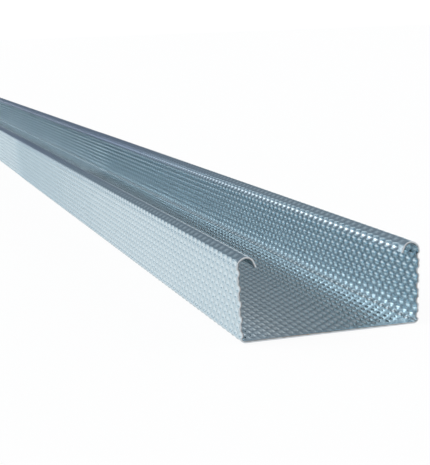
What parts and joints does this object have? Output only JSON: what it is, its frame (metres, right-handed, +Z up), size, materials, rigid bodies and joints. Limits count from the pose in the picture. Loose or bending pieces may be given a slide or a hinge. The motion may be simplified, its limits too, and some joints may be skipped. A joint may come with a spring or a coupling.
{
  "type": "ceiling channel",
  "caption": "Long roll-formed steel C channel with a flat web, upright flanges and inward-curled lips, embossed all over, for hanging plasterboard ceilings.",
  "frame": {"origin": "middle of the web's outer face, which is the bottom of the part", "axes": "+X along the channel, +Y across the web, +Z up from the web towards the open mouth"},
  "size_m": [3, 0.0612, 0.027],
  "materials": {
    "galvanised_steel": "zinc coated, satin, embossed with a close diamond pattern of bumps and hollows"
  },
  "bodies": {
    "root": {"ceiling_channel": "galvanised_steel"}
  },
  "joints": []
}
